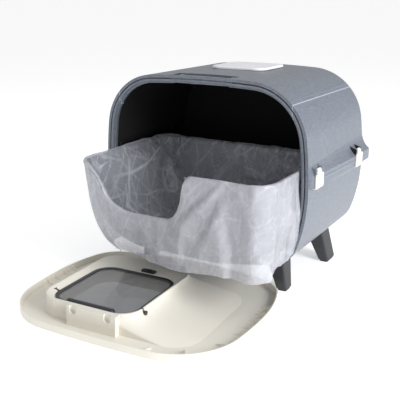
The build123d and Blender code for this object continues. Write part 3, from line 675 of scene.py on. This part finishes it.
class LITTERBOX_PG_liner(PropertyGroup):
    film_colour: FloatVectorProperty(
        name="Film Colour", description="Milky white of the liner", subtype="COLOR",
        default=(0.58, 0.59, 0.65),
    )
    film_opacity: FloatProperty(
        name="Film Opacity", description="How milky the flat film is", min=0.0, max=1.0, default=0.40,
        subtype="FACTOR",
    )
    film_cell: FloatProperty(
        name="Film Cell", description="Spacing of the film's grid round the tray", unit="LENGTH",
        default=0.0085,
    )
    floor_rows: IntProperty(name="Floor Rows", description="Rings of the bag's floor", default=16)
    wall_rows: IntProperty(name="Wall Rows", description="Rows up the inner wall", default=24)
    skirt_rows: IntProperty(name="Skirt Rows", description="Rows down the outer skirt", default=25)
    floor_lift: FloatProperty(
        name="Floor Lift", description="How far the bag's floor hangs above the tray's floor", unit="LENGTH",
        default=0.016,
    )
    front_hem: FloatProperty(
        name="Front Hem", description="Height of the skirt's hem in front", unit="LENGTH", default=0.100,
    )
    side_hem: FloatProperty(
        name="Side Hem", description="Height of the skirt's hem at the sides", unit="LENGTH", default=0.130,
    )
    pleat_depth: FloatProperty(
        name="Pleat Depth", description="Depth of the loose vertical folds", unit="LENGTH", default=0.012,
    )
    film_slack: FloatProperty(
        name="Film Slack", description="How much too large the film is", min=0.0, max=0.2, default=0.07,
    )
    buckle_frames: IntProperty(name="Buckle Frames", description="Steps of the cloth", default=16)
    stand_off: FloatProperty(
        name="Stand Off", description="Furthest that a fold stands off the wall", unit="LENGTH",
        default=0.012,
    )
    crease_height: FloatProperty(
        name="Crease Height", description="Height of the sharp creases", unit="LENGTH", default=0.0030,
    )
    fold_count: IntProperty(name="Fold Count", description="Sets of straight folds in the film", default=12)
    flat_size: FloatVectorProperty(
        name="Flat Size", description="Width and length of the bag's film, laid flat", size=2,
        default=(0.86, 0.86),
    )


class LITTERBOX_PG_ribs(PropertyGroup):
    pitch: FloatProperty(name="Pitch", description="Spacing of the ribs", unit="LENGTH", default=0.0030)
    width: FloatProperty(name="Width", description="Width of one rib", unit="LENGTH", default=0.0015)
    height: FloatProperty(name="Height", description="Height of one rib", unit="LENGTH", default=0.0055)
    depth: FloatProperty(name="Depth", description="How far a rib stands out", unit="LENGTH", default=0.0010)
    plate: FloatProperty(
        name="Plate", description="From a latch's outer face in to the flange", unit="LENGTH", default=0.0036,
    )


class LITTERBOX_PG_studio(PropertyGroup):
    camera_place: FloatVectorProperty(
        name="Camera Place", description="Where the camera stands", subtype="XYZ", unit="LENGTH",
        default=(0.8169, -1.3341, 0.6896),
    )
    camera_turn: FloatProperty(
        name="Camera Turn", description="Turn to the left of straight ahead", subtype="ANGLE",
        default=math.radians(30.94),
    )
    camera_dip: FloatProperty(
        name="Camera Dip", description="Tilt below the horizon", subtype="ANGLE", default=math.radians(16.85),
    )
    lens: FloatProperty(name="Lens", description="Focal length in millimetres", default=60.06)
    floor_colour: FloatVectorProperty(
        name="Floor Colour", description="Pale studio floor", subtype="COLOR", default=(0.97, 0.97, 0.975),
    )
    floor_glow: FloatProperty(name="Floor Glow", description="Lift that keeps the floor white", default=0.42)
    key_power: FloatProperty(name="Key Power", description="Watts of the key light", default=78.0)
    top_power: FloatProperty(name="Top Power", description="Watts of the overhead light", default=10.0)
    sky: FloatProperty(name="Sky", description="Strength of the white surroundings", default=0.55)


class LITTERBOX_PG_settings(PropertyGroup):
    plastics: PointerProperty(
        type=LITTERBOX_PG_plastics, name="Plastics", description="Colours of the plastics",
    )
    liner: PointerProperty(type=LITTERBOX_PG_liner, name="Liner", description="The film bag in the tray")
    ribs: PointerProperty(type=LITTERBOX_PG_ribs, name="Ribs", description="Ribbed strip on the side flanges")
    studio: PointerProperty(type=LITTERBOX_PG_studio, name="Studio", description="Camera, floor and light")


def settings_of(context):
    """The object's settings on the scene."""
    return context.scene.litter_box


# ---- Operators ---------------------------------------------------------------------------------------
class LITTERBOX_OT_shells(Operator):
    """Finish the hood, the base and the carry handle in linen-grained slate plastic"""

    bl_idname = "litter_box.shells"
    bl_label = "Finish Shells"

    def execute(self, context):
        look = settings_of(context).plastics
        dress(shell_finish(look), "hood_shell", "base_shell")
        handle = plain_finish("handle_plastic", look.shell_colour, roughness=0.36)
        dress(handle, "carry_handle")
        return {"FINISHED"}


class LITTERBOX_OT_ribs(Operator):
    """Grow the fine ribbed strip on the band of both side flanges, between the latches"""

    bl_idname = "litter_box.ribs"
    bl_label = "Grow Ribbed Strips"

    def execute(self, context):
        look = settings_of(context).ribs
        shell = settings_of(context).plastics.shell_colour
        # The ribs are moulded in the shell's slate plastic; their lighter colour is a painted highlight.
        rib_highlight_finish = plain_finish("rib_highlight_plastic", rgba(shell, 1.9)[:3], roughness=0.3)
        tree = rib_strip_tree()
        for side, sign in (("left", -1.0), ("right", 1.0)):
            _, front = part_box("latch_front_" + side)
            rear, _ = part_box("latch_rear_" + side)
            faces = [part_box(name + side)[int(sign > 0)].x for name in ("latch_front_", "latch_rear_")]
            face = [value - sign * look.plate for value in faces]
            start, end = front.y + look.pitch, rear.y - look.pitch
            count = int((end - start) / look.pitch)
            strip = grown("parting_ribs_" + side, tree, {
                "Count": count,
                "Pitch": look.pitch,
                "Drift": (face[1] - face[0]) / count,
                "Start": (face[0], start, HOOD_LOW.z + 0.6 * look.height),
                "Rib Size": (2.0 * look.depth, look.width, look.height),
                "Finish": rib_highlight_finish,
            })
            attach(strip, "box")
        return {"FINISHED"}


class LITTERBOX_OT_tray(Operator):
    """Finish the tray and drape its wrinkled film liner over the edge"""

    bl_idname = "litter_box.tray"
    bl_label = "Line Tray"

    def execute(self, context):
        settings = settings_of(context)
        tray = plain_finish("tray_plastic", settings.plastics.shell_colour, roughness=0.4)
        dress(tray, "litter_tray")

        look = settings.liner
        bag = build_liner(look)
        bag.data.materials.append(film_finish(look))
        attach(bag, "tray")
        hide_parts("tray_liner")
        return {"FINISHED"}


class LITTERBOX_OT_cover(Operator):
    """Finish the front cover and its smoked flap"""

    bl_idname = "litter_box.cover"
    bl_label = "Finish Front Cover"

    def execute(self, context):
        look = settings_of(context).plastics
        dress(plain_finish("cover_plastic", look.cream_colour, roughness=0.40, mottle=0.04), "front_cover")
        dark = plain_finish("flap_frame_plastic", look.leg_colour, roughness=0.34)
        dress(dark, "flap_frame", "flap_pins", "flap_lock")
        dress(pane_finish(look), "flap_pane")
        return {"FINISHED"}


class LITTERBOX_OT_latches(Operator):
    """Finish the four side latches and their pins"""

    bl_idname = "litter_box.latches"
    bl_label = "Finish Latches"

    def execute(self, context):
        look = settings_of(context).plastics
        cream = plain_finish("latch_plastic", look.cream_colour, roughness=0.36, mottle=0.03)
        dress(cream, *[name for name in NODES if name.startswith("latch_") and name != "latch_pins"])
        dress(steel_finish(), "latch_pins", "handle_pins", "leg_screws")
        return {"FINISHED"}


class LITTERBOX_OT_legs(Operator):
    """Finish the legs and their rubber pads"""

    bl_idname = "litter_box.legs"
    bl_label = "Finish Legs"

    def execute(self, context):
        look = settings_of(context).plastics
        charcoal = plain_finish("leg_plastic", look.leg_colour, roughness=0.48, depth=0.0005)
        dress(charcoal, *[name for name in NODES if name.startswith("leg_") and name != "leg_screws"])
        rubber = plain_finish("pad_rubber", (0.016, 0.016, 0.017), roughness=0.85, grain=500.0)
        dress(rubber, "foot_pads")
        return {"FINISHED"}


class LITTERBOX_OT_roof(Operator):
    """Finish the vent plate and the carbon pad under it"""

    bl_idname = "litter_box.roof"
    bl_label = "Finish Roof Vent"

    def execute(self, context):
        look = settings_of(context).plastics
        dress(plain_finish("vent_plastic", look.vent_colour, roughness=0.42, mottle=0.03), "filter_cover")
        dress(felt_finish(), "carbon_filter")
        return {"FINISHED"}


FLOOR_REACH = 300.0  # half the side of the floor
KEY_PLACE, KEY_SIZE = Vector((2.8, -0.5, 1.35)), 1.3
TOP_PLACE, TOP_SIZE = Vector((-0.3, 0.4, 3.0)), 2.4


class LITTERBOX_OT_stage(Operator):
    """Set up the camera, the pale floor and the soft studio light"""

    bl_idname = "litter_box.stage"
    bl_label = "Set Stage"

    def execute(self, context):
        look = settings_of(context).studio
        scene = context.scene
        scene.view_settings.view_transform = "Standard"
        camera = bpy.data.objects.new("camera", bpy.data.cameras.new("camera"))
        camera.data.lens = look.lens
        camera.data.clip_end = 1000.0
        camera.location = look.camera_place
        camera.rotation_euler = (math.pi / 2 - look.camera_dip, 0.0, look.camera_turn)
        scene.collection.objects.link(camera)
        scene.camera = camera
        floor = bmesh.new()
        bmesh.ops.create_grid(floor, x_segments=4, y_segments=4, size=FLOOR_REACH)
        mesh = bpy.data.meshes.new("studio_floor")
        floor.to_mesh(mesh)
        floor.free()
        plane = placed("studio_floor", mesh)
        glow = {"Emission_Color": rgba(look.floor_colour), "Emission_Strength": look.floor_glow}
        paint = plain_finish("studio_floor", look.floor_colour, roughness=0.9, mottle=0.0, **glow)
        mesh.materials.append(paint)
        world = bpy.data.worlds.new("studio")
        world.use_nodes = True
        backdrop = world.node_tree.nodes["Background"]
        backdrop.inputs["Color"].default_value = (1.0, 1.0, 1.0, 1.0)
        backdrop.inputs["Strength"].default_value = look.sky
        scene.world = world
        aim = 0.5 * (HOOD_LOW + BASE_HIGH)
        for name, place, size, power in (
            ("key", KEY_PLACE, KEY_SIZE, look.key_power),
            ("top", TOP_PLACE, TOP_SIZE, look.top_power),
        ):
            light = bpy.data.objects.new(name, bpy.data.lights.new(name, "AREA"))
            light.data.shape = "SQUARE"
            light.data.size = size
            light.data.energy = power
            light.location = place
            light.rotation_euler = (aim - place).to_track_quat("-Z", "Y").to_euler()
            scene.collection.objects.link(light)
        return {"FINISHED"}


class LITTERBOX_PT_panel(Panel):
    """Buttons for every piece"""

    bl_label = "Litter Box"
    bl_idname = "LITTERBOX_PT_panel"
    bl_space_type = "VIEW_3D"
    bl_region_type = "UI"
    bl_category = "Litter Box"

    def draw(self, context):
        for operator in OPERATORS:
            self.layout.operator(operator.bl_idname)
        settings = settings_of(context)
        for group in (settings.plastics, settings.liner, settings.ribs, settings.studio):
            box = self.layout.box()
            for name in group.bl_rna.properties.keys():
                if name not in ("rna_type", "name"):
                    box.prop(group, name)


OPERATORS = (
    LITTERBOX_OT_stage,
    LITTERBOX_OT_shells,
    LITTERBOX_OT_ribs,
    LITTERBOX_OT_tray,
    LITTERBOX_OT_cover,
    LITTERBOX_OT_latches,
    LITTERBOX_OT_legs,
    LITTERBOX_OT_roof,
)
GROUPS = (
    LITTERBOX_PG_plastics,
    LITTERBOX_PG_liner,
    LITTERBOX_PG_ribs,
    LITTERBOX_PG_studio,
    LITTERBOX_PG_settings,
)


def register():
    """Register the classes and put the settings on the scene."""
    for cls in GROUPS + OPERATORS + (LITTERBOX_PT_panel,):
        bpy.utils.register_class(cls)
    bpy.types.Scene.litter_box = PointerProperty(type=LITTERBOX_PG_settings)


def unregister():
    """Take the settings and the classes away again."""
    del bpy.types.Scene.litter_box
    for cls in reversed(GROUPS + OPERATORS + (LITTERBOX_PT_panel,)):
        bpy.utils.unregister_class(cls)


def main():
    """Make every piece in order."""
    register()
    for operator in OPERATORS:
        category, name = operator.bl_idname.split(".")
        getattr(getattr(bpy.ops, category), name)()


if __name__ == "__main__":
    main()
